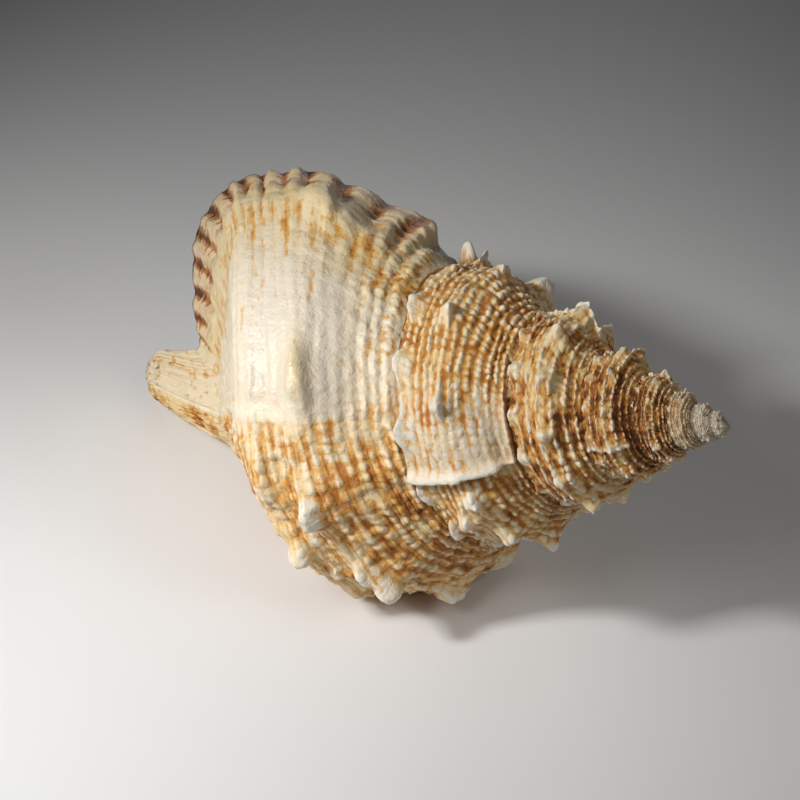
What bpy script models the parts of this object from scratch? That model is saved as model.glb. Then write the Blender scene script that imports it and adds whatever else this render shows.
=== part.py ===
"""A large, heavy sea snail shell with a flared outer lip, lying as it was put down.

The shell is one grown piece. Its wall is drawn by one outline that turns
around the axis, grows by the same share every turn, and is set down one
turn below the other along the seam. Sizes are in metres, +Z is up, and
the shell rests on the end of its canal and on two knobs of the last turn.
"""
import math

import bpy
import numpy as np

MM = 0.001

# Growth: how much larger each turn is, and the angles where it starts and stops
GROWTH_PER_TURN = 1.517
LIP_ANGLE = 96.0
FIRST_ANGLE = -3000.0
LINE_SPACING = 5.0

# The outline from the seam down to the end of the canal: radius and depth below
# the apex, in metres. The first list grows with the shell, the second stays.
GROWING_OUTLINE = ((36.3 * MM, 77.3 * MM), (43.0 * MM, 85.3 * MM), (51.6 * MM, 95.8 * MM),
                   (54.4 * MM, 106.6 * MM), (55.1 * MM, 117.3 * MM), (31.5 * MM, 75.5 * MM),
                   (10.0 * MM, 33.5 * MM), (0.0, 0.0), (0.0, 0.0), (0.0, 0.0), (0.0, 0.0))
STANDING_OUTLINE = ((0.0, 0.0), (0.0, 0.0), (0.0, 0.0), (0.0, 0.0), (0.0, 0.0),
                    (5.5 * MM, 56.5 * MM), (13.2 * MM, 113.5 * MM), (13.4 * MM, 157.5 * MM),
                    (10.4 * MM, 178.0 * MM), (7.8 * MM, 191.0 * MM), (0.0, 196.0 * MM))
# The outline of the flared lip, where the last turn ends
LIP_OUTLINE = ((40.6 * MM, 86.6 * MM), (57.0 * MM, 109.5 * MM), (68.6 * MM, 141.0 * MM),
               (67.5 * MM, 162.0 * MM), (59.0 * MM, 175.5 * MM), (43.0 * MM, 183.5 * MM),
               (25.5 * MM, 180.5 * MM), (14.5 * MM, 173.5 * MM), (10.6 * MM, 183.0 * MM),
               (7.8 * MM, 191.0 * MM), (0.0, 196.0 * MM))
FLARE_FROM_ANGLE = 5.0
APEX_DRAWN_OUT = 2.6 * MM
FLARE_POWER = 2.3
KEEL_PULLED_IN = 3.4 * MM

# Knobs on the shoulder: angle and height of each one on the last two turns
KNOBS = ((72, 5.0 * MM), (13, 7.4 * MM), (-33, 9.0 * MM), (-64, 9.0 * MM), (-95, 6.0 * MM),
         (-122, 4.0 * MM), (-150, 4.0 * MM), (-176, 6.0 * MM), (-205, 6.5 * MM),
         (-235, 6.5 * MM), (-270, 3.6 * MM), (-311, 7.4 * MM), (-353, 7.4 * MM),
         (-392, 9.7 * MM), (-425, 7.0 * MM))
KNOB_SPACING = 34.0
KNOB_HEIGHT = 6.6 * MM
KNOB_WIDTH_ANGLE = 9.5
LOW_KNOB_SPACING = 27.0
LOW_KNOB_HEIGHT = 2.8 * MM
FOOT_KNOB_ANGLE = -144.0
FOOT_KNOB_HEIGHT = 8.6 * MM

# Old lips that stay as ridges across the turns
RIDGE_ANGLES = (-150.0, -387.0, -627.0, -867.0, -1107.0, -1347.0)
RIDGE_HEIGHT = 3.0 * MM

# Sharp spines near the back end of the mouth: angle, place across the turn, height
SPINES = ((-264, 3.85, 7.0 * MM), (-266, 3.2, 4.5 * MM), (-241, 2.1, 3.0 * MM))
SPINE_WIDTH_ANGLE = 4.5

# Ribs that run out over the flared lip and scallop its edge
LIP_RIB_COUNT = 14
LIP_RIB_HEIGHT = 1.3 * MM
LIP_RIBS_FROM_ANGLE = 58.0

# The canal: how far it bends, and the slit along it
CANAL_BEND = 11.0 * MM
CANAL_BEND_FROM = 154.0 * MM
CANAL_BEND_LENGTH = 46.0 * MM
SLIT_SHARE = 0.15

# The hollow behind the mouth
WALL = 4.6 * MM
INNER_WALL = 2.4 * MM
HOLLOW_ANGLE = 215.0

# How the shell lies: the spire lifted, the shell rolled on its axis, and the apex
# moved from the origin to its place above the surface
SPIRE_LIFT = 27.43
ROLL = -27.13
APEX_PLACE = (91.3 * MM, 5.8 * MM, 88.7 * MM)
TRIANGLES = 9400


def smooth(x, low, high):
    t = np.clip((x - low) / (high - low), 0.0, 1.0)
    return t * t * (3.0 - 2.0 * t)


def bump(x, centre, width):
    return np.exp(-((x - centre) / width) ** 2)


def curve(points, at):
    """A smooth curve through the points, read at whole and part numbers."""
    known = np.asarray(points, float)
    ends = np.vstack([2 * known[0] - known[1], known, 2 * known[-1] - known[-2]])
    first = np.clip(np.floor(at).astype(int), 0, len(known) - 2)
    t = (at - first)[..., None]
    a, b, c, d = (ends[first + j] for j in range(4))
    return 0.5 * (2 * b + (c - a) * t + (2 * a - 5 * b + 4 * c - d) * t ** 2
                  + (3 * b - a - 3 * c + d) * t ** 3)


def size_at(turn):
    return GROWTH_PER_TURN ** (turn / 360.0)


def outline(turn, across):
    """Radius and depth of the plain wall, without knobs."""
    size = size_at(turn)[..., None]
    body = curve(GROWING_OUTLINE, across) * size + curve(STANDING_OUTLINE, across)
    # Where the next turn covers the rest of the outline, the wall ends straight at the seam
    covered = np.where(across <= 4.0, 1.0 - smooth(turn, -340.0, -270.0), 0.0)[..., None]
    body = body * (1.0 - covered) + curve(GROWING_OUTLINE[:5], np.minimum(across, 4.0)) * size * covered
    # The first turns stand out a little further than the rest
    drawn_out = APEX_DRAWN_OUT * (1.0 - smooth(turn, -2600.0, -1500.0))
    body = body - np.stack([np.zeros_like(drawn_out), drawn_out], -1)
    under = smooth(turn, -249.0, -150.0) * (1.0 - 0.8 * smooth(turn, -105.0, -45.0))
    pulled = KEEL_PULLED_IN * under * bump(across, 4.1, 0.75)
    body = body - np.stack([pulled, np.zeros_like(pulled)], -1)
    flare = np.clip((turn - FLARE_FROM_ANGLE) / (LIP_ANGLE - FLARE_FROM_ANGLE), 0.0, 1.0)
    flare = (flare ** FLARE_POWER)[..., None]
    return body * (1.0 - flare) + curve(LIP_OUTLINE, across) * flare


def relief(turn, across):
    """Height of the knobs and ridges above the plain wall."""
    size = size_at(turn)
    knobs = list(KNOBS)
    angle = KNOBS[-1][0] - KNOB_SPACING
    while angle > FIRST_ANGLE:
        knobs.append((angle, KNOB_HEIGHT))
        angle -= KNOB_SPACING
    height = np.zeros(np.broadcast(turn, across).shape)
    for angle, tall in knobs:
        tall = tall * size_at(np.float64(angle))
        height = height + tall * bump(turn, angle, KNOB_WIDTH_ANGLE) * bump(across, 2.0, 0.42)
    place = (turn - 10.0) / LOW_KNOB_SPACING
    away = np.abs(place - np.round(place)) * 2.0
    low = LOW_KNOB_HEIGHT * size * (1.0 - smooth(away, 0.0, 0.9)) * bump(across, 3.5, 0.3)
    height = height + low * (1.0 - smooth(turn, 20.0, 70.0))
    foot = bump(turn, FOOT_KNOB_ANGLE, 8.0) * bump(across, 3.4, 0.45)
    height = height + FOOT_KNOB_HEIGHT * foot
    for angle, middle, tall in SPINES:
        spine = bump(turn, angle, SPINE_WIDTH_ANGLE) * bump(across, middle, 0.28)
        height = height + tall * spine
    on_lip = smooth(turn, LIP_RIBS_FROM_ANGLE, LIP_ANGLE) * smooth(across, 0.3, 0.8)
    on_lip = on_lip * (1.0 - smooth(across, 6.4, 7.2))
    ribs = 0.5 + 0.5 * np.cos(2.0 * math.pi * (across - 0.45) / 6.5 * LIP_RIB_COUNT)
    height = height + LIP_RIB_HEIGHT * ribs * on_lip
    for angle in RIDGE_ANGLES:
        wide = np.where(turn > angle, 13.0, 4.0)
        ridge = bump(turn, angle, wide) * smooth(across, 0.3, 1.0) * (1.0 - smooth(across, 4.6, 6.0))
        height = height + RIDGE_HEIGHT * size * ridge
    return height * smooth(across, 0.0, 0.35)


def wall_point(turn, across, out=0.0, bare=False):
    """Points of the wall: along the axis to the apex, to the left, and up."""
    turn, across = np.broadcast_arrays(np.asarray(turn, float), np.asarray(across, float))
    flat = outline(turn, across)
    step = 0.001
    slope = outline(turn, np.clip(across + step, 0, 10)) - outline(turn, np.clip(across - step, 0, 10))
    normal = np.stack([slope[..., 1], -slope[..., 0]], -1)
    normal /= np.linalg.norm(normal, axis=-1, keepdims=True) + 1e-12
    height = out if bare else relief(turn, across) + out
    radius = flat[..., 0] + normal[..., 0] * height
    depth = flat[..., 1] + normal[..., 1] * height
    slit = SLIT_SHARE * smooth(across, 5.6, 7.4)
    middle = LIP_ANGLE - 180.0
    angle = np.radians(middle + (turn - middle) * (1.0 - slit))
    bend = CANAL_BEND * np.clip((depth - CANAL_BEND_FROM) / CANAL_BEND_LENGTH, 0.0, None) ** 1.3
    return np.stack([-depth, -radius * np.cos(angle), radius * np.sin(angle) + bend], -1)


def hollow_loop(inward, across_out, across_in):
    """One ring of the hollow; inward runs from 0 at the rim to 1 at its end."""
    back = LIP_ANGLE + 1.5 * bump(inward, 0.06, 0.05) - HOLLOW_ANGLE * inward ** 1.9
    deepest = 10.0 - 3.8 * smooth(inward, 0.02, 0.42)
    top = 0.75 * smooth(inward, 0.0, 0.25)
    outer = top + across_out / 10.0 * (deepest - top)
    top = 4.0 + 0.55 * smooth(inward, 0.0, 0.25)
    inner = top + (across_in - 4.0) / 6.0 * (deepest - top)
    thick = WALL * smooth(inward, 0.0, 0.16) + MM * smooth(inward, 0.2, 0.9)
    in_canal = smooth(outer, 6.4, 8.0)
    radius = outline(np.full_like(outer, back), outer)[:, 0]
    thick = thick * (1.0 - in_canal) + np.minimum(thick, 0.75 * radius) * in_canal
    first = wall_point(np.full_like(outer, back), outer, -thick, bare=inward > 0.05)
    pillar = smooth(inner, 5.0, 6.4)
    radius = outline(np.full_like(inner, back - 360.0), inner)[:, 0]
    raised = INNER_WALL * smooth(inward, 0.0, 0.2) * (1.0 - pillar)
    cut = np.minimum(6.4 * MM, 0.7 * radius) * smooth(inward, 0.0, 0.3) * pillar
    second = wall_point(np.full_like(inner, back - 360.0), inner, raised - cut, bare=inward > 0.05)
    return np.concatenate([first, second])


def shell_mesh():
    """Corner points and faces of the closed shell."""
    rows, rows_low, rings = 28, 34, 26
    per_turn = int(round(360.0 / LINE_SPACING))
    lines = int(round((LIP_ANGLE - FIRST_ANGLE) / LINE_SPACING)) + 1
    turns = LIP_ANGLE - LINE_SPACING * np.arange(lines - 1, -1, -1)
    across_top = np.linspace(0.0, 4.0, rows + 1)[:-1]
    across_low = np.linspace(4.0, 10.0, rows_low + 1)
    last = lines - 1 - per_turn
    top = wall_point(turns[:, None], across_top[None, :])
    low = wall_point(turns[last:, None], across_low[None, :])
    points = [top.reshape(-1, 3), low[:, :rows_low].reshape(-1, 3), low[:1, rows_low]]
    top_index = np.arange(lines * rows).reshape(lines, rows)
    low_index = lines * rows + np.arange(low.shape[0] * rows_low).reshape(-1, rows_low)
    low_index[0, 0] = top_index[-1, 0]
    tip = lines * rows + low.shape[0] * rows_low
    faces = []

    def node(line, row):
        # The last row of a turn is the seam, which is the first row one turn later
        if row < rows:
            return top_index[line, row]
        if line + per_turn < lines:
            return top_index[line + per_turn, 0]
        return low_index[line - last, 0]

    for line in range(lines - 1):
        for row in range(rows):
            faces.append((node(line, row), node(line + 1, row),
                          node(line + 1, row + 1), node(line, row + 1)))
    for line in range(low.shape[0] - 1):
        for row in range(rows_low - 1):
            faces.append((low_index[line, row], low_index[line + 1, row],
                          low_index[line + 1, row + 1], low_index[line, row + 1]))
        faces.append((low_index[line, -1], low_index[line + 1, -1], tip))

    # The first whorl closes in one point
    ring = [top_index[line, 0] for line in range(per_turn)]
    ring += [node(0, row) for row in range(rows, 0, -1)]
    first_whorl = points[0][ring]
    apex = first_whorl.mean(0)
    apex[0] = first_whorl[:, 0].max() + 0.4 * MM
    points.append(apex[None, :])
    for one, other in zip(ring, ring[1:] + ring[:1]):
        faces.append((one, tip + 1, other))

    # The rim of the mouth, and the hollow behind it ring by ring
    rim = [node(lines - 1, row) for row in range(rows)]
    rim += list(low_index[-1]) + [tip] + list(low_index[0, :0:-1])
    across_out = np.concatenate([across_top, across_low])
    across_in = across_low[rows_low - 1:0:-1]
    start = tip + 2
    before = rim
    for inward in np.linspace(0.0, 1.0, rings + 1)[1:]:
        loop = hollow_loop(inward, across_out, across_in)
        points.append(loop)
        now = list(range(start, start + len(loop)))
        start += len(loop)
        for k in range(len(now)):
            after = (k + 1) % len(now)
            faces.append((before[k], now[k], now[after], before[after]))
        before = now
    points.append(loop.mean(0)[None, :])
    for k in range(len(before)):
        faces.append((before[k], start, before[(k + 1) % len(before)]))
    return np.concatenate(points), faces


def lay_down(points):
    """Turn the shell into the way it lies, with its lowest points on z = 0."""
    roll = math.radians(ROLL)
    lift = math.radians(SPIRE_LIFT)
    x, y, z = points.T
    y, z = y * math.cos(roll) - z * math.sin(roll), y * math.sin(roll) + z * math.cos(roll)
    x, z = x * math.cos(lift) - z * math.sin(lift), x * math.sin(lift) + z * math.cos(lift)
    return np.stack([x, y, z], -1) + np.array(APEX_PLACE)


def calcium_carbonate():
    material = bpy.data.materials.new("shell_surface")
    material.use_nodes = True
    shader = material.node_tree.nodes["Principled BSDF"]
    shader.inputs["Base Color"].default_value = (0.74, 0.60, 0.42, 1.0)
    shader.inputs["Roughness"].default_value = 0.55
    return material


def make_shell():
    points, faces = shell_mesh()
    points = lay_down(points)
    mesh = bpy.data.meshes.new("shell")
    used = sorted({int(k) for face in faces for k in face})
    number = {old: new for new, old in enumerate(used)}
    faces = [tuple(number[int(k)] for k in face) for face in faces]
    mesh.from_pydata([tuple(points[k]) for k in used], [], faces)
    mesh.update()
    mesh.materials.append(calcium_carbonate())
    shell = bpy.data.objects.new("shell", mesh)
    bpy.context.scene.collection.objects.link(shell)
    split = shell.modifiers.new("triangles", "TRIANGULATE")
    split.quad_method = "SHORTEST_DIAGONAL"
    fewer = shell.modifiers.new("fewer", "DECIMATE")
    count = sum(len(face) - 2 for face in faces)
    fewer.ratio = TRIANGLES / count
    return shell


for old in list(bpy.data.objects):
    bpy.data.objects.remove(old, do_unlink=True)
make_shell()
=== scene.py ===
import math

import bpy
import numpy as np
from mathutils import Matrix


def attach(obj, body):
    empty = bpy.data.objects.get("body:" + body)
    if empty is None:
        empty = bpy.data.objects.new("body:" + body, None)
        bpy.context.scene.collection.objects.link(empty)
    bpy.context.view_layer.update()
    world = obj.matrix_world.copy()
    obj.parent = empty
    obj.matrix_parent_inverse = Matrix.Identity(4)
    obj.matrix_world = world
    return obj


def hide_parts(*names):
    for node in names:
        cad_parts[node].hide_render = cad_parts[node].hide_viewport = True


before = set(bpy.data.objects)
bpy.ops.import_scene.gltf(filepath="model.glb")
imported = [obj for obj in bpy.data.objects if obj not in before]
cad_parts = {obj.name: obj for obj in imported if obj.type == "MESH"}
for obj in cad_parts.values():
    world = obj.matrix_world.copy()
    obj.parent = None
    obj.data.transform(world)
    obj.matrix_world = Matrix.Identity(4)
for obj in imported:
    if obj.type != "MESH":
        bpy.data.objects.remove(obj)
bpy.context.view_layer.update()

MM = 0.001

# The surface and the light
# A wide sheet of pale paper under the shell. A small soft lamp low on the left
# throws the long shadow. Three wide, weak ones fill the front, the far side and
# the back.
FLOOR_COLOUR = (0.80, 0.80, 0.80, 1.0)
FLOOR_HALF = 3.0
ROOM_LIGHT = (0.80, 0.84, 0.90, 1.0)
ROOM_STRENGTH = 0.031
# Lamps: aim, azimuth, height angle, distance, width, beam, power, colour
LAMPS = {
    "low_left_lamp": ((0.0, 0.0, 45 * MM), 239.0, 34.0, 0.50, 0.06, 72.0, 0.34, (1.0, 0.995, 0.985)),
    "front_lamp": ((-20 * MM, -200 * MM, 0.0), 257.0, 56.0, 0.42, 0.22, 52.0, 0.142, (1.0, 1.0, 1.0)),
    "far_side_lamp": ((120 * MM, 20 * MM, 0.0), 5.0, 50.0, 0.60, 0.30, 55.0, 0.085, (1.0, 0.97, 0.93)),
    "back_lamp": ((-20 * MM, 20 * MM, 45 * MM), 112.0, 14.0, 0.80, 0.30, 40.0, 0.05, (1.0, 0.98, 0.95)),
}

paper_mesh = bpy.data.meshes.new("paper")
paper_mesh.from_pydata([(-FLOOR_HALF, -FLOOR_HALF, 0.0), (FLOOR_HALF, -FLOOR_HALF, 0.0),
                        (FLOOR_HALF, FLOOR_HALF, 0.0), (-FLOOR_HALF, FLOOR_HALF, 0.0)], [], [(0, 1, 2, 3)])
paper = bpy.data.objects.new("paper", paper_mesh)
bpy.context.scene.collection.objects.link(paper)
paper_finish = bpy.data.materials.new("paper")
paper_finish.use_nodes = True
paper_shader = paper_finish.node_tree.nodes["Principled BSDF"]
paper_shader.inputs["Base Color"].default_value = FLOOR_COLOUR
paper_shader.inputs["Roughness"].default_value = 0.8
paper_mesh.materials.append(paper_finish)

room = bpy.data.worlds.new("room")
room.use_nodes = True
room.node_tree.nodes["Background"].inputs["Color"].default_value = ROOM_LIGHT
room.node_tree.nodes["Background"].inputs["Strength"].default_value = ROOM_STRENGTH
bpy.context.scene.world = room
bpy.context.scene.view_settings.view_transform = "Standard"


def soft_lamp(name, aim, azimuth, height_angle, distance, width, beam, power, colour):
    """A square lamp that faces the point aim; beam is how wide its light opens."""
    light = bpy.data.lights.new(name, "AREA")
    light.size = width
    light.spread = math.radians(beam)
    light.energy = power
    light.color = colour
    lamp = bpy.data.objects.new(name, light)
    turn = math.radians(azimuth)
    up = math.radians(height_angle)
    lamp.location = (aim[0] + distance * math.cos(turn) * math.cos(up),
                     aim[1] + distance * math.sin(turn) * math.cos(up), aim[2] + distance * math.sin(up))
    lamp.rotation_euler = (math.pi / 2 - up, 0.0, turn + math.pi / 2)
    bpy.context.scene.collection.objects.link(lamp)


for lamp_name, settings in LAMPS.items():
    soft_lamp(lamp_name, *settings)

# The camera
# It looks down on the back of the shell from the front, a little rolled,
# with a lens that takes in the shell and its shadow.
CAMERA_PLACE = (211.8 * MM, -443.9 * MM, 415.1 * MM)
CAMERA_TURN = (math.radians(52.735), math.radians(-9.734), math.radians(32.635))
SENSOR_WIDTH = 36.0
LENS = 99.8

camera_lens = bpy.data.cameras.new("camera")
camera_lens.sensor_width = SENSOR_WIDTH
camera_lens.lens = LENS
camera_lens.clip_start = 0.01
camera = bpy.data.objects.new("camera", camera_lens)
camera.location = CAMERA_PLACE
camera.rotation_euler = CAMERA_TURN
bpy.context.scene.collection.objects.link(camera)
bpy.context.scene.camera = camera

# The shell: how it grew
# One wall of chalky layers, laid down along the edge of the mouth. The same
# outline turns round the axis and is a little larger at every step, so one flat
# sheet of growth lines holds the whole shell, and the node tree winds it up.
GROWTH_PER_TURN = 1.517
LIP_ANGLE = 96.0
FIRST_ANGLE = -2640.0
LINES_PER_TURN = 360
ROWS_ABOVE = 96
ROWS_BELOW = 108
HOLLOW_RINGS = 64
HOLLOW_ANGLE = 215.0
WALL = 4.6 * MM
INNER_WALL = 2.4 * MM
# Distance from the axis and place along it in mm, from the seam to the canal's tip:
# what grows with each turn, what stays the same size, and the flared lip
GROWING_OUTLINE = ((36.3, 77.3), (43.0, 85.3), (51.6, 95.8), (54.4, 106.6), (55.1, 117.3),
                   (31.5, 75.5), (10.0, 33.5), (0.0, 0.0), (0.0, 0.0), (0.0, 0.0), (0.0, 0.0))
STANDING_OUTLINE = ((0.0, 0.0), (0.0, 0.0), (0.0, 0.0), (0.0, 0.0), (0.0, 0.0),
                    (5.5, 56.5), (13.2, 113.5), (13.4, 157.5), (10.4, 178.0), (7.8, 191.0), (0.0, 196.0))
LIP_OUTLINE = ((40.6, 86.6), (57.0, 109.5), (68.6, 141.0), (67.5, 162.0), (59.0, 175.5),
               (43.0, 183.5), (25.5, 180.5), (14.5, 173.5), (10.6, 183.0), (7.8, 191.0), (0.0, 196.0))
APEX_DRAWN_OUT = 2.6 * MM
# Growth ribs on one turn, on the first turns and on the last one
RIBS_EARLY = 57.0
RIBS_LATE = 107.0


def ease(x, low, high):
    t = np.clip((x - low) / (high - low), 0.0, 1.0)
    return t * t * (3.0 - 2.0 * t)


def outline_curve(points, at):
    """A smooth curve through the outline's points, in metres."""
    known = np.asarray(points, float) * MM
    ends = np.vstack([2 * known[0] - known[1], known, 2 * known[-1] - known[-2]])
    first = np.clip(np.floor(at).astype(int), 0, len(known) - 2)
    t = (at - first)[..., None]
    a, b, c, d = (ends[first + j] for j in range(4))
    return 0.5 * (2 * b + (c - a) * t + (2 * a - 5 * b + 4 * c - d) * t ** 2
                  + (3 * b - a - 3 * c + d) * t ** 3)


def hollow_ring(inward, across_out, across_in):
    """Turn angle, place across and depth below the outer face, for one ring of the hollow."""
    back = LIP_ANGLE + 1.5 * math.exp(-((inward - 0.06) / 0.05) ** 2) - HOLLOW_ANGLE * inward ** 1.9
    deepest = 10.0 - 3.8 * ease(inward, 0.02, 0.42)
    top = 0.75 * ease(inward, 0.0, 0.25)
    outer = top + across_out / 10.0 * (deepest - top)
    top = 4.0 + 0.55 * ease(inward, 0.0, 0.25)
    inner = top + (across_in - 4.0) / 6.0 * (deepest - top)
    thick = WALL * ease(inward, 0.0, 0.16) + MM * ease(inward, 0.2, 0.9)
    in_canal = ease(outer, 6.4, 8.0)
    radius = outline_curve(STANDING_OUTLINE, outer)[:, 0]
    thick = thick * (1.0 - in_canal) + np.minimum(thick, 0.75 * radius) * in_canal
    pillar = ease(inner, 5.0, 6.4)
    size = GROWTH_PER_TURN ** ((back - 360.0) / 360.0)
    radius = (outline_curve(GROWING_OUTLINE, inner) * size + outline_curve(STANDING_OUTLINE, inner))[:, 0]
    raised = INNER_WALL * ease(inward, 0.0, 0.2) * (1.0 - pillar)
    cut = np.minimum(6.4 * MM, 0.7 * radius) * ease(inward, 0.0, 0.3) * pillar
    turn = np.concatenate([np.full_like(outer, back), np.full_like(inner, back - 360.0)])
    return turn, np.concatenate([outer, inner]), np.concatenate([-thick, raised - cut])


def growth_sheet():
    """The sheet of growth lines, joined along the seam, with the facts of each point."""
    step = 360.0 / LINES_PER_TURN
    lines = int(round((LIP_ANGLE - FIRST_ANGLE) / step)) + 1
    turns = LIP_ANGLE - step * np.arange(lines - 1, -1, -1)
    across_top = np.linspace(0.0, 4.0, ROWS_ABOVE + 1)[:-1]
    across_low = np.linspace(4.0, 10.0, ROWS_BELOW + 1)
    last = lines - 1 - LINES_PER_TURN
    top = np.arange(lines * ROWS_ABOVE).reshape(lines, ROWS_ABOVE)
    low = top.size + np.arange((lines - last) * ROWS_BELOW).reshape(-1, ROWS_BELOW)
    tip = top.size + low.size
    low[0, 0] = top[-1, 0]
    turn = [np.repeat(turns, ROWS_ABOVE), np.repeat(turns[last:], ROWS_BELOW), [LIP_ANGLE, FIRST_ANGLE]]
    across = [np.tile(across_top, lines), np.tile(across_low[:-1], lines - last), [10.0, 2.0]]
    outset = [np.zeros(tip + 2)]
    bare = [np.zeros(tip + 2)]
    # The last row of a turn is the seam, which is the first row one turn later
    seam = np.concatenate([top[LINES_PER_TURN:, 0], low[1:, 0]])
    grid = np.concatenate([top, seam[:lines, None]], 1)
    quads = [np.stack([grid[:-1, :-1], grid[1:, :-1], grid[1:, 1:], grid[:-1, 1:]], -1).reshape(-1, 4),
             np.stack([low[:-1, :-1], low[1:, :-1], low[1:, 1:], low[:-1, 1:]], -1).reshape(-1, 4)]
    ends = np.full(lines - last - 1, tip)
    triangles = [np.stack([low[:-1, -1], low[1:, -1], ends], -1)]
    ring = np.concatenate([top[:LINES_PER_TURN, 0], grid[0, :0:-1]])
    triangles.append(np.stack([ring, np.full_like(ring, tip + 1), np.roll(ring, -1)], -1))
    before = np.concatenate([top[-1], low[-1], [tip], low[0, :0:-1]])
    across_out = np.concatenate([across_top, across_low])
    across_in = across_low[-2:0:-1]
    start = tip + 2
    for inward in np.linspace(0.0, 1.0, HOLLOW_RINGS + 1)[1:]:
        ring_turn, ring_across, ring_outset = hollow_ring(inward, across_out, across_in)
        turn.append(ring_turn)
        across.append(ring_across)
        outset.append(ring_outset)
        bare.append(np.full_like(ring_turn, max(inward, 0.001)))
        now = start + np.arange(len(ring_turn))
        start += len(now)
        quads.append(np.stack([before, now, np.roll(now, -1), np.roll(before, -1)], -1))
        before = now
    turn.append([ring_turn[0]])
    across.append([5.0])
    outset.append([0.0])
    bare.append([1.0])
    triangles.append(np.stack([before, np.full_like(before, start), np.roll(before, -1)], -1))
    return (np.concatenate(turn), np.concatenate(across), np.concatenate(outset), np.concatenate(bare),
            np.concatenate(quads), np.concatenate(triangles), tip)


def sheet_mesh():
    turn, across, outset, bare, quads, triangles, tip = growth_sheet()
    used = np.zeros(len(turn), bool)
    used[quads.ravel()] = True
    used[triangles.ravel()] = True
    number = np.cumsum(used) - 1
    corners = np.concatenate([number[quads].ravel(), number[triangles].ravel()])
    sizes = np.concatenate([np.full(len(quads), 4), np.full(len(triangles), 3)])
    step = 0.001
    every_degree = np.arange(FIRST_ANGLE - 400.0, LIP_ANGLE + 2.0)
    ribs_a_turn = RIBS_EARLY + (RIBS_LATE - RIBS_EARLY) * ease(every_degree, -760.0, -80.0)
    facts = {"turn": turn, "across": across, "outset": outset, "bare": bare,
             "rib_count": np.interp(turn, every_degree, np.cumsum(ribs_a_turn) / 360.0)}
    # Where the next turn covers the rest of the outline, the wall ends straight at the seam
    covered = np.where(across <= 4.0, 1.0 - ease(turn, -340.0, -270.0), 0.0)[:, None]

    def outline_of(name, at):
        if name == "lip":
            return outline_curve(LIP_OUTLINE, at)
        if name == "growing":
            open_wall = outline_curve(GROWING_OUTLINE, at)
            covered_wall = outline_curve(GROWING_OUTLINE[:5], np.minimum(at, 4.0))
            return open_wall * (1.0 - covered) + covered_wall * covered
        drawn_out = APEX_DRAWN_OUT * (1.0 - ease(turn, -2600.0, -1500.0))
        return (outline_curve(STANDING_OUTLINE, at) * (1.0 - covered)
                - np.stack([np.zeros_like(drawn_out), drawn_out], -1))

    for name in ("growing", "standing", "lip"):
        high = np.clip(across + step, 0, 10)
        low = np.clip(across - step, 0, 10)
        slope = (outline_of(name, high) - outline_of(name, low)) / (high - low)[:, None]
        facts[name] = np.pad(outline_of(name, across), ((0, 0), (0, 1)))
        facts[name + "_slope"] = np.pad(slope, ((0, 0), (0, 1)))
    # The first whorl and the end of the hollow each close in a point on the way round
    facts["growing"][tip + 1] = (0.0, 60.0 * MM, 0.0)
    facts["growing"][-1] = (0.0, 0.0, 0.0)
    facts["standing"][-1] = (30.0 * MM, 105.0 * MM, 0.0)
    mesh = bpy.data.meshes.new("growth_sheet")
    mesh.vertices.add(int(used.sum()))
    flat = np.stack([turn, across, np.zeros_like(turn)], -1)[used]
    mesh.vertices.foreach_set("co", flat.ravel().astype(np.float32))
    mesh.loops.add(len(corners))
    mesh.loops.foreach_set("vertex_index", corners.astype(np.int32))
    mesh.polygons.add(len(sizes))
    starts = np.concatenate([[0], np.cumsum(sizes)[:-1]])
    mesh.polygons.foreach_set("loop_start", starts.astype(np.int32))
    for name, values in facts.items():
        kind, field = ("FLOAT", "value") if values.ndim == 1 else ("FLOAT_VECTOR", "vector")
        layer = mesh.attributes.new(name, kind, "POINT")
        layer.data.foreach_set(field, values[used].ravel().astype(np.float32))
    mesh.update(calc_edges=True)
    mesh.validate()
    return mesh


class Field:
    """One changing value in a node tree, so that a rule reads as plain sums."""

    def __init__(self, tree, socket):
        self.tree = tree
        self.socket = socket

    def work(self, operation, *others):
        node = self.tree.nodes.new("ShaderNodeMath")
        node.operation = operation
        for place, value in enumerate((self,) + others):
            if isinstance(value, Field):
                self.tree.links.new(value.socket, node.inputs[place])
            else:
                node.inputs[place].default_value = value
        return Field(self.tree, node.outputs[0])

    def __add__(self, other):
        return self.work("ADD", other)

    def __sub__(self, other):
        return self.work("SUBTRACT", other)

    def __rsub__(self, other):
        return self.work("MULTIPLY_ADD", -1.0, other)

    def __mul__(self, other):
        return self.work("MULTIPLY", other)

    def __truediv__(self, other):
        return self.work("DIVIDE", other)

    def __pow__(self, other):
        return self.work("POWER", other)

    def __neg__(self):
        return self.work("MULTIPLY", -1.0)

    __radd__ = __add__
    __rmul__ = __mul__

    def ease(self, low, high):
        node = self.tree.nodes.new("ShaderNodeMapRange")
        node.interpolation_type = "SMOOTHSTEP"
        self.tree.links.new(self.socket, node.inputs[0])
        node.inputs[1].default_value = low
        node.inputs[2].default_value = high
        return Field(self.tree, node.outputs[0])

    def bump(self, centre, width):
        off = (self - centre) / width
        return (-(off * off)).work("EXPONENT")

    def wave(self):
        """From 0 to 1 and back once for every whole number."""
        return (self * (2.0 * math.pi)).work("COSINE") * 0.5 + 0.5

    def least(self, other):
        return self.work("MINIMUM", other)

    def most(self, other):
        return self.work("MAXIMUM", other)


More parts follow.
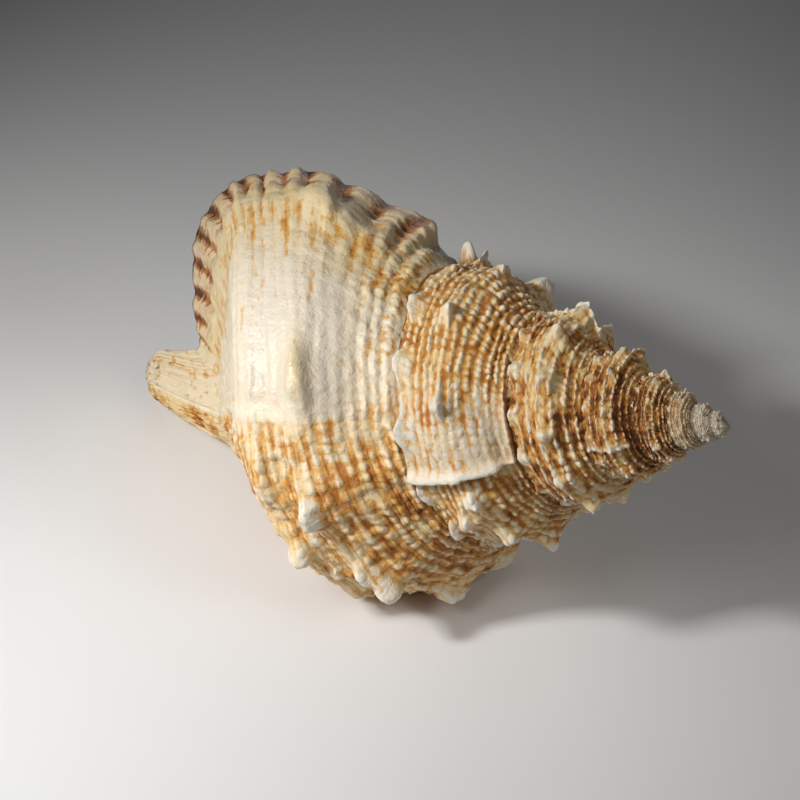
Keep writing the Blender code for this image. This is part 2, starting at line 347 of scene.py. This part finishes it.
def read(tree, name, vector=False):
    node = tree.nodes.new("GeometryNodeInputNamedAttribute")
    node.data_type = "FLOAT_VECTOR" if vector else "FLOAT"
    node.inputs["Name"].default_value = name
    if not vector:
        return Field(tree, node.outputs["Attribute"])
    parts = tree.nodes.new("ShaderNodeSeparateXYZ")
    tree.links.new(node.outputs["Attribute"], parts.inputs[0])
    return Field(tree, parts.outputs[0]), Field(tree, parts.outputs[1])


def join_vector(tree, x, y, z):
    node = tree.nodes.new("ShaderNodeCombineXYZ")
    for place, value in enumerate((x, y, z)):
        if isinstance(value, Field):
            tree.links.new(value.socket, node.inputs[place])
        else:
            node.inputs[place].default_value = value
    return node.outputs[0]


def noise(tree, vector, scale, detail=2.0, rough=0.5):
    """Random swell between about -1 and 1."""
    node = tree.nodes.new("ShaderNodeTexNoise")
    node.inputs["Scale"].default_value = scale
    node.inputs["Detail"].default_value = detail
    node.inputs["Roughness"].default_value = rough
    if vector is not None:
        tree.links.new(vector, node.inputs["Vector"])
    return (Field(tree, node.outputs[0]) - 0.5) * 4.0


def sculpture(tree, turn, across, rib_count):
    """Cords and beads, by the same rule for the relief and for the stain."""
    along = join_vector(tree, turn * 0.035, across, 0.0)
    stray = noise(tree, along, 1.7, 3.0)
    drift = noise(tree, along, 0.55, 2.0)
    place = across + stray * 0.05 + drift * 0.08
    fan = turn.ease(-25.0, 20.0)
    second = turn.ease(-780.0, -430.0)
    third = turn.ease(-420.0, -190.0) * (0.95 - fan * 0.8)
    cords = (place * 1.75).wave().work("POWER", second * 1.2 + 1.3)
    cords = cords.most((place * 1.75 + 0.5).wave() ** 2.5 * second)
    cords = cords.most((place * 3.5 + 0.5).wave() ** 2.2 * third * 0.8)
    cords = cords * (stray * 0.25 + drift * 0.2 + 0.85).most(0.2).least(1.2)
    rib_place = rib_count + stray * 0.25 + drift * 0.7
    spots = tree.nodes.new("ShaderNodeTexVoronoi")
    spots.voronoi_dimensions = "2D"
    spots.inputs["Scale"].default_value = 1.0
    spots.inputs["Randomness"].default_value = 0.6
    tree.links.new(join_vector(tree, rib_place + 0.3, place * 3.5 + 0.3, 0.0), spots.inputs["Vector"])
    lot = tree.nodes.new("ShaderNodeSeparateXYZ")
    tree.links.new(spots.outputs["Color"], lot.inputs[0])
    off = Field(tree, spots.outputs["Distance"]) / 0.57
    beads = (1.0 - off * off).most(0.0) * cords.most(0.0) ** 0.7
    beads = beads * (Field(tree, lot.outputs[0]) * 0.95 + 0.38)
    return cords, beads, stray, drift


# Knobs on the shoulder: angle, place across, height in mm, width in degrees, width across
KNOBS = ((66.0, 1.85, 3.4, 6.0, 0.30), (8.5, 2.17, 4.6, 9.0, 0.24), (-31.0, 2.48, 7.6, 4.0, 0.18),
         (-65.0, 2.15, 7.0, 4.0, 0.19), (-57.0, 2.36, 4.8, 3.0, 0.15), (-95.0, 2.1, 5.4, 5.0, 0.22),
         (-122.0, 2.0, 4.0, 6.0, 0.28), (-150.0, 2.0, 4.0, 6.0, 0.28), (-176.0, 2.0, 6.0, 6.0, 0.28),
         (-205.0, 2.0, 6.5, 6.0, 0.28), (-235.0, 2.0, 6.5, 6.0, 0.28), (-272.0, 2.1, 3.4, 5.0, 0.25),
         (-317.0, 2.38, 6.2, 4.4, 0.22), (-356.0, 2.28, 6.8, 3.2, 0.19), (-400.0, 2.1, 6.4, 4.6, 0.25),
         (-411.0, 2.75, 7.4, 3.8, 0.24), (-430.0, 2.1, 5.0, 4.4, 0.24))
KNOB_SPACING = 34.0
KNOB_HEIGHT = 6.6
# Spines, and the foot it rests on: angle, place across, height in mm, width in degrees, width across
SPINES = ((-264.0, 3.85, 7.0, 2.4, 0.16), (-267.0, 3.2, 4.8, 3.4, 0.22), (-241.0, 2.1, 3.0, 3.5, 0.28),
          (-144.0, 3.4, 8.6, 8.0, 0.45), (-45.0, 3.55, 3.0, 3.5, 0.16), (-41.0, 3.0, 1.8, 3.0, 0.14),
          (-57.0, 3.3, 2.4, 2.6, 0.14), (-24.0, 3.6, 2.0, 4.0, 0.12))
RIDGE_ANGLES = (-150.0, -387.0, -627.0, -867.0, -1107.0, -1347.0)
# Scars where growth stopped for a while
SCAR_ANGLES = (79.0, -29.0, -71.0, -108.0, -187.0, -222.0, -300.0, -441.0, -503.0, -560.0, -700.0, -790.0)

winding = bpy.data.node_groups.new("shell_winding", "GeometryNodeTree")
winding.is_modifier = True
winding.interface.new_socket("Geometry", in_out="INPUT", socket_type="NodeSocketGeometry")
winding.interface.new_socket("Geometry", in_out="OUTPUT", socket_type="NodeSocketGeometry")
WINDING_SIZES = (("Growth per turn", GROWTH_PER_TURN), ("Knob height", 1.0), ("Ridge height", 3.0 * MM),
                 ("Cord height", 0.50 * MM), ("Bead height", 1.25 * MM), ("Lip rib height", 2.0 * MM),
                 ("Seam lobe height", 4.2 * MM), ("Keel pulled in", 3.4 * MM), ("Canal bend", 11.0 * MM),
                 ("Wear", 1.0), ("Spire lift", 27.43), ("Roll", -27.13))
socket_of = {}
for title, number in WINDING_SIZES:
    socket = winding.interface.new_socket(title, in_out="INPUT", socket_type="NodeSocketFloat")
    socket.default_value = number
    socket_of[title] = socket.identifier
given = winding.nodes.new("NodeGroupInput")
size_input = {title: Field(winding, given.outputs[title]) for title, number in WINDING_SIZES}

turn = read(winding, "turn")
across = read(winding, "across")
outset = read(winding, "outset")
bare = read(winding, "bare")
rib_count = read(winding, "rib_count")
growing_r, growing_z = read(winding, "growing", True)
standing_r, standing_z = read(winding, "standing", True)
lip_r, lip_z = read(winding, "lip", True)
growing_slope_r, growing_slope_z = read(winding, "growing_slope", True)
standing_slope_r, standing_slope_z = read(winding, "standing_slope", True)
lip_slope_r, lip_slope_z = read(winding, "lip_slope", True)
skin = 1.0 - bare.ease(0.0, 0.02)

# The plain wall: the body outline grows, and turns into the flared lip at the end
size = (turn * (size_input["Growth per turn"].work("LOGARITHM", math.e) / 360.0)).work("EXPONENT")
under = turn.ease(-249.0, -150.0) * (1.0 - turn.ease(-105.0, -45.0) * 0.8)
pulled = size_input["Keel pulled in"] * under * across.bump(4.1, 0.75)
pulled_slope = pulled * (across - 4.1) * (-2.0 / 0.75 ** 2)
flare = ((turn - 5.0) / 91.0).most(0.0).least(1.0) ** 2.3
body = 1.0 - flare
plain_r = (growing_r * size + standing_r - pulled) * body + lip_r * flare
plain_z = (growing_z * size + standing_z) * body + lip_z * flare
slope_r = (growing_slope_r * size + standing_slope_r - pulled_slope) * body + lip_slope_r * flare
slope_z = (growing_slope_z * size + standing_slope_z) * body + lip_slope_z * flare
steep = (slope_r * slope_r + slope_z * slope_z + 1e-12).work("SQRT")
out_r = slope_z / steep
out_z = -slope_r / steep

# Spiral cords that carry beads where the growth ribs cross them
cords, beads, stray, drift = sculpture(winding, turn, across, rib_count)
along_wall = join_vector(winding, turn * 0.035, across, 0.0)
patchy = noise(winding, along_wall, 3.1, 2.0)
late = turn.ease(-300.0, -120.0)
fan = turn.ease(-25.0, 20.0)
worn_tip = 1.0 - turn.ease(-2250.0, -1800.0)
young = size.ease(0.02, 0.16)
edge_stray = stray * 2.5
lip_turn = turn + drift * 2.2
glaze_back = (turn + edge_stray).ease(-4.0, -2.0) * (1.0 - (turn + drift * 9.0).ease(36.0, 66.0))
glaze_back = glaze_back * (across + stray * 0.14 + drift * 0.2).ease(0.95, 1.5)
glaze_back = glaze_back * (1.0 - (across + drift * 0.3).ease(3.3, 4.1) * 0.7)
glaze_spire = lip_turn.ease(-388.0, -386.5) * (1.0 - (turn + patchy * 9.0).ease(-366.0, -338.0))
glaze_spire = glaze_spire * across.ease(0.2, 0.4)
glaze = (glaze_back + glaze_spire) * skin
calm = (1.0 - across.ease(6.6, 7.6) * 0.5) * (1.0 - glaze_spire * 0.45) * (1.0 - glaze_back * 0.3)
calm = calm * (1.0 - worn_tip * 0.5) * (1.0 - lip_turn.bump(-385.6, 5.0))
strength = (patchy * 0.55 + drift * 0.30 + 0.85).most(0.12).least(1.4)
cord_height = size_input["Cord height"] * cords * (late * 0.7 - fan * 0.45 + 0.45) * strength
granules = across.bump(2.1, 0.6) * (1.0 - turn.ease(-560.0, -400.0))
bead_share = size.least(1.0) * 0.62 + 0.34 + granules * 0.3 - late * 0.24
bead_share = bead_share - fan * 0.46 * across.ease(0.5, 1.3)
bead_height = size_input["Bead height"] * beads * bead_share * strength
wrinkles = noise(winding, join_vector(winding, turn * 0.16, across * 0.30, 3.0), 1.0, 4.0, 0.55)
wrinkle_height = wrinkles * (0.24 + late * 0.62 - fan * 0.48) * MM
fine_relief = (cord_height + bead_height + wrinkle_height) * calm * young

# Knobs on the shoulder: a broad foot, a blunt peak, and a low tail on the newer side
shoulder = across.bump(2.0, 0.40)
peak_place = across.bump(2.10, 0.17)
fold_place = across.bump(1.9, 0.95)
old_place = ((turn + 459.0 + stray * 2.0) / KNOB_SPACING).wave()
old_tall = (1.0 - turn.ease(-443.0, -442.0)) * (KNOB_HEIGHT * MM) * size
broad = old_place ** 2.6 * old_tall * 0.6
peaks = old_place ** 5.0 * old_tall * (patchy * 0.25 + 0.5)
folds_down = old_place ** 2.0 * old_tall * 0.12
broad_knobs = broad * shoulder + folds_down * fold_place
peaks = peaks * peak_place
for angle, middle, tall, wide, tall_wide in KNOBS:
    tall = tall * MM * GROWTH_PER_TURN ** (angle / 360.0)
    off_middle = ((across - middle + stray * 0.04) / tall_wide) ** 2.0
    off_angle = ((turn - angle + drift * 1.5) / wide) ** 2.0
    blunt = (-((off_middle + off_angle) ** 1.35)).work("EXPONENT")
    tail = turn.ease(angle, angle + 4.0) * (1.0 - turn.ease(angle + 7.0, angle + 26.0))
    tail = tail * across.bump(middle, 0.15)
    peaks = peaks + blunt * (tall * 0.62) + tail * (tall * (0.20 if angle > -200.0 else 0.06))
    foot = turn.bump(angle, wide + 3.5) * across.bump(middle - 0.05, tall_wide + 0.16)
    fold = turn.bump(angle - 1.0, wide) * fold_place
    broad_knobs = broad_knobs + foot * (tall * 0.38) + fold * (tall * 0.13)
knob_height = broad_knobs + peaks
low_place = ((turn - 10.0) / 27.0).wave()
low_knobs = low_place ** 2.2 * across.bump(3.5, 0.24) * (3.0 * MM) * size
low_knobs = low_knobs * (1.0 - turn.ease(-12.0, 14.0)) * turn.ease(-300.0, -270.0)
seam_lobes = low_place ** 1.6 * across.bump(3.72, 0.20) * (1.0 - turn.ease(-308.0, -293.0)) * size
lobe_height = seam_lobes * size_input["Seam lobe height"]
spines = None
for angle, middle, tall, wide, tall_wide in SPINES:
    one = turn.bump(angle, wide) * across.bump(middle, tall_wide) * (tall * MM)
    spines = one if spines is None else spines + one
knob_height = (knob_height + low_knobs + lobe_height + spines) * size_input["Knob height"]

# Old lips stay as ridges, steep on the older side, with a thin crest
glaze_lip = lip_turn.bump(-385.2, 2.3)
ridges = None
crests = None
for angle in RIDGE_ANGLES:
    after = lip_turn.ease(angle - 1.5, angle) * (1.0 - turn.ease(angle + 4.0, angle + 34.0))
    one = after.most(lip_turn.bump(angle, 6.0) * 0.35)
    crest = lip_turn.bump(angle + 1.0, 1.5)
    ridges = one if ridges is None else ridges + one
    crests = crest if crests is None else crests + crest
on_ridge = across.ease(0.7, 1.1) * (1.0 - across.ease(4.6, 6.0))
ridges = ridges * on_ridge
crests = crests * on_ridge * skin
crest_share = crests * (cords * 0.3 * (1.0 - glaze_lip) + 0.35)
ridge_height = size_input["Ridge height"] * size * (ridges * 0.8 + crest_share)
old_lip_line = glaze_lip * across.ease(0.15, 0.4) * (1.7 * MM)
seam_edge = across.bump(0.27, 0.11) * turn.ease(-388.0, -386.0) * (1.0 - turn.ease(-358.0, -340.0))
old_lip_line = old_lip_line + seam_edge * (1.4 * MM)
scars = None
for angle in SCAR_ANGLES:
    late_side = (turn + stray * 1.6).ease(angle - 0.7, angle + 0.7)
    late_side = late_side * (1.0 - turn.ease(angle + 2.0, angle + 15.0))
    scars = late_side if scars is None else scars + late_side
scar_height = scars * size * (0.65 * MM) * across.ease(0.3, 0.6) * (1.0 - across.ease(5.0, 6.2))

# The flared lip: a rounded ridge, a shallow valley and paired ribs to a scalloped edge
before_canal = 1.0 - across.ease(6.4, 7.2)
on_lip = turn.ease(60.0, 78.0) * across.ease(0.3, 0.8) * before_canal
rib_place = (across - 0.45) * (14.0 / 6.5) + stray * 0.05
lip_ribs = 1.0 - (1.0 - rib_place.wave()) ** 2.4
rib_splits = (rib_place * 2.0 + 0.5).wave() ** 5.0
lip_height = size_input["Lip rib height"] * on_lip * (lip_ribs - rib_splits * 0.22)
lip_height = lip_height * (1.0 - turn.ease(84.0, 96.0) * 0.35)
lip_body = across.ease(0.4, 1.2) * (1.0 - across.ease(5.2, 6.4))
lip_height = lip_height + turn.bump(64.0, 7.0) * lip_body * (1.8 * MM)
lip_height = lip_height + turn.bump(80.0, 5.0) * lip_body * (-1.6 * MM)
growth_steps = wrinkles * (on_lip * 0.45 + across.ease(6.8, 8.0) * 0.5) * MM
growth_steps = growth_steps - turn.ease(78.0, 93.0) * across.bump(0.28, 0.13) * (2.2 * MM)
growth_steps = growth_steps + turn.ease(80.0, 95.0) * across.bump(0.66, 0.17) * (3.0 * MM)

glaze_height = glaze_back * (0.45 * MM) + glaze_spire * (0.8 * MM)
seam_fade = across.ease(0.0, 0.16)
seam_lip = across.bump(0.22, 0.14) * size * (0.7 * MM) * (stray * 0.4 + 0.8)
relief = fine_relief * (1.0 - ridges * 0.3) + knob_height + ridge_height + old_lip_line + scar_height
whorl_swell = across.bump(1.9, 1.05) * (1.0 - turn.ease(-580.0, -320.0)) * size * (3.2 * MM)
knob_rings = (turn / 2.9).wave() * turn.bump(8.5, 9.0) * across.bump(2.17, 0.22) * (0.5 * MM)
relief = relief + lip_height + growth_steps + glaze_height + seam_lip + whorl_swell + knob_rings
relief = relief * seam_fade * skin

# Inside the mouth: teeth along the lip and folds on the pillar
teeth = (rib_place + 0.5).wave() ** 2.5 * bare.ease(0.05, 0.16) * (1.0 - bare.ease(0.22, 0.34))
teeth = teeth * turn.ease(-100.0, -60.0) * across.ease(0.8, 1.4) * (1.0 - across.ease(5.4, 6.2))
teeth = teeth * (2.0 * MM)
folds = ((across - 4.0) * 3.2).wave() ** 2.0 * (1.0 - turn.ease(-230.0, -200.0)) * bare.ease(0.03, 0.12)
folds = folds * across.ease(5.0, 5.4) * (1.0 - across.ease(6.4, 6.8)) * (0.9 * MM)
height = relief + outset + (folds - teeth) * (1.0 - skin)

radius = plain_r + out_r * height
depth = plain_z + out_z * height + seam_lobes * skin * (2.6 * MM) * across.ease(3.2, 3.7)
scallop = (lip_ribs - 0.5) * turn.ease(84.0, 96.0) * across.ease(0.4, 1.0) * before_canal * 0.8
lean = crests * 1.6
slit = across.ease(5.6, 7.4) * 0.15
middle = LIP_ANGLE - 180.0
round_angle = ((turn + scallop - lean - middle) * (1.0 - slit) + middle) * (math.pi / 180.0)
bend = ((depth - 154.0 * MM) / (46.0 * MM)).most(0.0) ** 1.3 * size_input["Canal bend"]
wound = join_vector(winding, -depth, -(radius * round_angle.work("COSINE")),
                    radius * round_angle.work("SINE") + bend)
wind = winding.nodes.new("GeometryNodeSetPosition")
winding.links.new(given.outputs["Geometry"], wind.inputs["Geometry"])
winding.links.new(wound, wind.inputs["Position"])

# Uneven growth, wear and chalky grain, pushed straight out of the wound wall
here = winding.nodes.new("GeometryNodeInputPosition").outputs[0]
out_of_wall = winding.nodes.new("GeometryNodeInputNormal").outputs[0]
swell = noise(winding, here, 28.0, 2.0) * (0.55 * MM)
lumps = noise(winding, here, 130.0, 2.0) * (0.34 * MM)
grain = noise(winding, here, 420.0, 2.0, 0.6) * (0.17 * MM)
rough_skin = (1.0 - fan * 0.3) * (1.0 - glaze.least(1.0) * 0.5) * (late * 0.25 + 0.85)
uneven = swell * size.least(1.0) + (lumps + grain) * rough_skin * young
crust = (noise(winding, here, 260.0, 3.0, 0.6) + 0.1).most(0.0)
crust = crust * (crests.least(1.0) * 0.9 + worn_tip * 0.8) * (0.7 * MM)
uneven = (uneven + crust) * skin * size_input["Wear"]
push_by = winding.nodes.new("ShaderNodeVectorMath")
push_by.operation = "SCALE"
winding.links.new(out_of_wall, push_by.inputs[0])
winding.links.new(uneven.socket, push_by.inputs["Scale"])
push = winding.nodes.new("GeometryNodeSetPosition")
winding.links.new(wind.outputs[0], push.inputs["Geometry"])
winding.links.new(push_by.outputs[0], push.inputs["Offset"])

# Lay the shell down the way it rests, worn flat where it touches the table
MIDDLE_OF_BASE = (91.3 * MM, 5.8 * MM, 88.7 * MM)
place_shell = winding.nodes.new("GeometryNodeTransform")
winding.links.new(push.outputs[0], place_shell.inputs["Geometry"])
winding.links.new(join_vector(winding, size_input["Roll"] * (math.pi / 180.0),
                              size_input["Spire lift"] * (-math.pi / 180.0), 0.0),
                  place_shell.inputs["Rotation"])
place_shell.inputs["Translation"].default_value = MIDDLE_OF_BASE
laid = winding.nodes.new("ShaderNodeSeparateXYZ")
winding.links.new(winding.nodes.new("GeometryNodeInputPosition").outputs[0], laid.inputs[0])
rest_flat = winding.nodes.new("GeometryNodeSetPosition")
winding.links.new(place_shell.outputs[0], rest_flat.inputs["Geometry"])
winding.links.new(join_vector(winding, Field(winding, laid.outputs[0]), Field(winding, laid.outputs[1]),
                              Field(winding, laid.outputs[2]).most(0.0)), rest_flat.inputs["Position"])

# Facts that the finish needs, kept on the points
# Where the finish paints shade into the sutures between the whorls
seam_shade = (1.0 - across.ease(0.0, 0.10)).most(across.ease(3.93, 4.0) * (1.0 - turn.ease(-266.0, -262.0)))
KEPT = (("knob", ((knob_height + lobe_height) / (6.0 * MM)).least(1.0)), ("glaze", glaze.least(1.0)),
        ("glaze_edge", turn.bump(-1.0, 3.0) * across.ease(2.0, 2.2) * skin + old_lip_line / (1.5 * MM)),
        ("peak", (peaks / (3.4 * MM * size) + spines / (3.0 * MM)).least(1.0)),
        ("lobe", seam_lobes / size), ("crest", crests), ("lip_rib", lip_ribs),
        ("seam_shade", seam_shade * skin), ("inside", 1.0 - skin))
last_step = rest_flat.outputs[0]
for name, value in KEPT:
    keep = winding.nodes.new("GeometryNodeStoreNamedAttribute")
    keep.data_type = "FLOAT"
    keep.domain = "POINT"
    keep.inputs["Name"].default_value = name
    winding.links.new(last_step, keep.inputs["Geometry"])
    winding.links.new(value.socket, keep.inputs["Value"])
    last_step = keep.outputs[0]

# The shell's finish
# Bare chalky lime over cream layers. Orange-brown stain sits in the grooves,
# bead tops are worn white, and old lips carry a grey-white glaze.
shell_finish = bpy.data.materials.new("shell")
shell_finish.use_nodes = True
tree = shell_finish.node_tree
shader = tree.nodes["Principled BSDF"]


def fact(name):
    node = tree.nodes.new("ShaderNodeAttribute")
    node.attribute_name = name
    return Field(tree, node.outputs["Fac"])


def blend_colour(amount, first, second):
    node = tree.nodes.new("ShaderNodeMix")
    node.data_type = "RGBA"
    tree.links.new(amount.most(0.0).least(1.0).socket, node.inputs["Factor"])
    for socket_name, value in (("A", first), ("B", second)):
        socket = [one for one in node.inputs if one.name == socket_name and one.type == "RGBA"][0]
        if isinstance(value, tuple):
            socket.default_value = value + (1.0,)
        else:
            tree.links.new(value, socket)
    return [one for one in node.outputs if one.type == "RGBA"][0]


CREAM = (0.76, 0.575, 0.315)
WHITE = (0.80, 0.735, 0.61)
FAN_WHITE = (0.76, 0.655, 0.49)
LIGHT_ORANGE = (0.63, 0.315, 0.058)
ORANGE = (0.38, 0.118, 0.009)
BROWN = (0.092, 0.026, 0.005)
YELLOW = (0.72, 0.535, 0.22)
GREY_GLAZE = (0.60, 0.565, 0.52)
SCAR_GREY = (0.33, 0.24, 0.17)
OLD_TIP = (0.76, 0.70, 0.58)
PEACH = (0.84, 0.62, 0.45)
RIM_CREAM = (0.74, 0.545, 0.335)

turn_f = fact("turn")
across_f = fact("across")
cords_f, beads_f, stray_f, drift_f = sculpture(tree, turn_f, across_f, fact("rib_count"))
knob_f = fact("knob")
peak_f = fact("peak")
glaze_f = fact("glaze")
glaze_edge_f = fact("glaze_edge").least(1.0)
lobe_f = fact("lobe")
crest_f = fact("crest").least(1.0)
lip_rib_f = fact("lip_rib")
seam_shade_f = fact("seam_shade")
inside_f = fact("inside")
where = tree.nodes.new("ShaderNodeTexCoord").outputs["Object"]
wall_place = join_vector(tree, turn_f * 0.035, across_f, 0.0)
flames = noise(tree, wall_place, 2.3, 4.0, 0.6)
streaks = noise(tree, join_vector(tree, turn_f * 0.035, across_f * 4.0, 5.0), 2.0, 3.0, 0.6)
growth_bands = noise(tree, join_vector(tree, turn_f * 0.16, across_f * 0.30, 3.0), 1.0, 4.0, 0.55)
blots = noise(tree, where, 95.0, 3.0, 0.6)
specks = noise(tree, where, 420.0, 3.0, 0.65)
grit = noise(tree, where, 1100.0, 3.0, 0.6)
fan_f = turn_f.ease(-25.0, 20.0)
late_f = turn_f.ease(-300.0, -120.0)
spire_f = 1.0 - turn_f.ease(-640.0, -430.0)
tip_f = 1.0 - (turn_f + blots * 260.0).ease(-2350.0, -1450.0)
canal_f = across_f.ease(6.3, 7.2)
rim_f = turn_f.ease(70.0, 82.0) * across_f.ease(0.3, 0.8) * (1.0 - canal_f)

# How deep the stain is at each place
bead_f = beads_f * (0.95 - late_f * 0.40 + fan_f * 0.25)
raised_f = (bead_f + cords_f * (0.30 + late_f * 0.30 - fan_f * 0.20)).least(1.0)
patches = flames * 0.26 + blots * 0.22 + streaks * (1.0 - canal_f) * 0.16 + drift_f * 0.14
patches = patches + growth_bands * 0.08
level = (0.62 - raised_f) * (0.68 - fan_f * 0.42) + patches * (1.0 + late_f * 0.40 - fan_f * 0.95)
level = level + specks * 0.12 + grit * 0.10 + 0.40
level = level + spire_f * (blots * 0.20 + flames * 0.20 - 0.03)
level = level + (1.0 - turn_f.ease(-1100.0, -850.0)) * 0.14
level = level + late_f * 0.15 - fan_f * 0.41 - glaze_f * 0.20
level = level - knob_f * 0.18 - peak_f * 0.40 - crest_f * 0.45 - lobe_f * 0.35 - tip_f * 0.35
level = level + canal_f * (blots * 0.28 - flames * 0.22 - 0.22)
# Lighter shoulders on the spire, and painted shade that darkens the sutures
level = level - spire_f * across_f.bump(2.1, 0.5) * (beads_f * 0.7 + blots * 0.3 + 0.10) + seam_shade_f * 0.40

# Cream under white tops, the fan's chalk, yellow behind the lip, and grey glaze
worn_f = raised_f * 0.6 + peak_f * 0.6 + crest_f * 0.8 + lobe_f * 0.7
white_f = (worn_f + blots * 0.25 + streaks * 0.12 + spire_f * 0.1).ease(0.25, 0.95)
colour = blend_colour(white_f, CREAM, WHITE)
colour = blend_colour(fan_f, colour, FAN_WHITE)
yellow_amount = turn_f.ease(34.0, 56.0) * (1.0 - turn_f.ease(84.0, 95.0) * 0.6) * (flames * 0.25 + 0.55)
yellow_amount = yellow_amount * (1.0 - canal_f) + canal_f * 0.3
colour = blend_colour(yellow_amount, colour, YELLOW)
colour = blend_colour(rim_f * 0.7, colour, RIM_CREAM)
grey_f = glaze_f * (blots * 0.2 + 0.52 - fan_f * 0.20) * (1.0 - glaze_edge_f)
colour = blend_colour(grey_f, colour, GREY_GLAZE)
fan_knob = across_f.bump(2.15, 0.22) * turn_f.bump(9.0, 11.0)
colour = blend_colour(fan_knob * 0.5, colour, YELLOW)
level = level + turn_f.bump(18.0, 2.6) * across_f.bump(2.15, 0.16) * 0.7
fan_stain = streaks * 0.30 + flames * 0.22 + specks * 0.15
fan_stain = fan_stain + turn_f.bump(56.0, 9.0) * 0.26 + turn_f.bump(74.0, 5.0) * 0.30
near_seam = 1.0 - across_f.ease(0.6, 1.7)
fan_stain = fan_stain + near_seam * (specks * 0.22 + blots * 0.22 - streaks * 0.20 + 0.12)
fan_stain = fan_stain + (0.4 - raised_f) * 0.34 - lip_rib_f * turn_f.ease(60.0, 70.0) * 0.25
level = level.most(fan_stain * fan_f + fan_f * 0.20)
colour = blend_colour(level.ease(0.32, 0.62) * 0.85, colour, LIGHT_ORANGE)
colour = blend_colour(level.ease(0.56, 0.88) * 0.9, colour, ORANGE)
dark_level = level + specks * 0.10 + spire_f * (blots * 0.18 + 0.07) + late_f * 0.05
colour = blend_colour(dark_level.ease(0.92, 1.26) * 0.9, colour, BROWN)

# Brown dashes between the ribs of the rim, and painted shade in the gaps at the lip's corner and at the
# seam
dashes = noise(tree, join_vector(tree, turn_f * 0.55, across_f * 1.6, 9.0), 1.0, 3.0, 0.6)
rim_marks = (1.0 - lip_rib_f) * (turn_f.ease(72.0, 82.0) * 0.5 + turn_f.ease(82.0, 92.0) * 0.4) * 1.3
rim_marks = (rim_marks + dashes * 0.44 + streaks * 0.26 + specks * 0.24 + blots * 0.16) * rim_f
colour = blend_colour(rim_marks.ease(0.12, 0.46) * 0.85, colour, ORANGE)
colour = blend_colour(rim_marks.ease(0.50, 0.98) * 0.95, colour, BROWN)
# Painted shade: the gap behind the lip's corner and one gap at the seam are browned
notch_shade_f = turn_f.ease(80.0, 93.0) * (1.0 - across_f.ease(0.25, 0.55))
notch_shade_f = notch_shade_f + turn_f.bump(-270.0, 9.0) * across_f.ease(3.5, 3.9)
colour = blend_colour(notch_shade_f * (1.0 - peak_f) * 0.85, colour, BROWN)

# Scars, glazed edges, the old tip, dark specks, painted shade in the sutures, and the plain mouth
scar_f = None
for angle in SCAR_ANGLES:
    one = (turn_f + stray_f * 1.6).bump(angle - 0.6, 0.7)
    scar_f = one if scar_f is None else scar_f + one
colour = blend_colour(scar_f * (0.48 - spire_f * 0.25) * (1.0 - canal_f), colour, SCAR_GREY)
colour = blend_colour((glaze_edge_f * 0.8 + crest_f * 0.6) * (specks * 0.2 + 0.7), colour, WHITE)
colour = blend_colour(tip_f * (specks * 0.2 + 0.62), colour, OLD_TIP)
tip_specks = tip_f * (specks * 0.6 + blots * 0.5).ease(0.30, 0.8)
canal_specks = canal_f * (specks * 0.6 + blots * 0.5 + across_f.ease(7.4, 10.0) * 0.25).ease(0.45, 0.95)
colour = blend_colour((canal_specks + tip_specks) * 0.75, colour, BROWN)
# Painted shade: the sutures between the whorls are browned
colour = blend_colour(seam_shade_f * (flames * 0.3 + 0.6) * 0.8, colour, BROWN)
mouth_colour = blend_colour(blots * 0.2 + 0.45, WHITE, PEACH)
colour = blend_colour(inside_f, colour, mouth_colour)
tree.links.new(colour, shader.inputs["Base Color"])

gloss = 0.60 - fan_f * 0.12 - glaze_f * 0.14 - inside_f * 0.28 + blots * 0.05 - peak_f * 0.1
tree.links.new(gloss.most(0.2).least(0.85).socket, shader.inputs["Roughness"])
shader.inputs["Specular IOR Level"].default_value = 0.4

# Growth lines and chalk that are too fine for the mesh, and sharper cords and beads
outer_f = 1.0 - inside_f
fine_lines = (turn_f * 1.1 + stray_f * 1.6).wave() * (0.04 - fan_f * 0.04)
smooth_f = (1.0 - glaze_edge_f) * (1.0 - glaze_f * 0.5)
surface = (cords_f * 0.16 + beads_f * (0.42 - fan_f * 0.28)) * smooth_f + fine_lines
surface = (surface + grit * 0.06 + specks * 0.14 + blots * 0.10 + growth_bands * 0.14) * outer_f
dents = tree.nodes.new("ShaderNodeBump")
dents.inputs["Strength"].default_value = 0.75
dents.inputs["Distance"].default_value = 1.0 * MM
tree.links.new(surface.socket, dents.inputs["Height"])
tree.links.new(dents.outputs[0], shader.inputs["Normal"])

# Wind the sheet up, thin it where it is flat, and keep it as one plain mesh
realize = winding.nodes.new("GeometryNodeRealizeInstances")
winding.links.new(last_step, realize.inputs[0])
finish_with = winding.nodes.new("GeometryNodeSetMaterial")
finish_with.inputs["Material"].default_value = shell_finish
winding.links.new(realize.outputs[0], finish_with.inputs["Geometry"])
result = winding.nodes.new("NodeGroupOutput")
winding.links.new(finish_with.outputs[0], result.inputs["Geometry"])

SHELL_TRIANGLES = 195000
sheet = bpy.data.objects.new("growth_sheet", sheet_mesh())
bpy.context.scene.collection.objects.link(sheet)
winder = sheet.modifiers.new("winding", "NODES")
winder.node_group = winding
for title, number in WINDING_SIZES:
    winder[socket_of[title]] = number
thinner = sheet.modifiers.new("thinning", "DECIMATE")
thinner.ratio = SHELL_TRIANGLES / sum(len(face.vertices) - 2 for face in sheet.data.polygons)
depsgraph = bpy.context.evaluated_depsgraph_get()
shell_mesh = bpy.data.meshes.new_from_object(sheet.evaluated_get(depsgraph))
bpy.data.objects.remove(sheet, do_unlink=True)
shell_mesh.shade_smooth()
shell = bpy.data.objects.new("shell_skin", shell_mesh)
bpy.context.scene.collection.objects.link(shell)
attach(shell, "root")
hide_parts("shell")
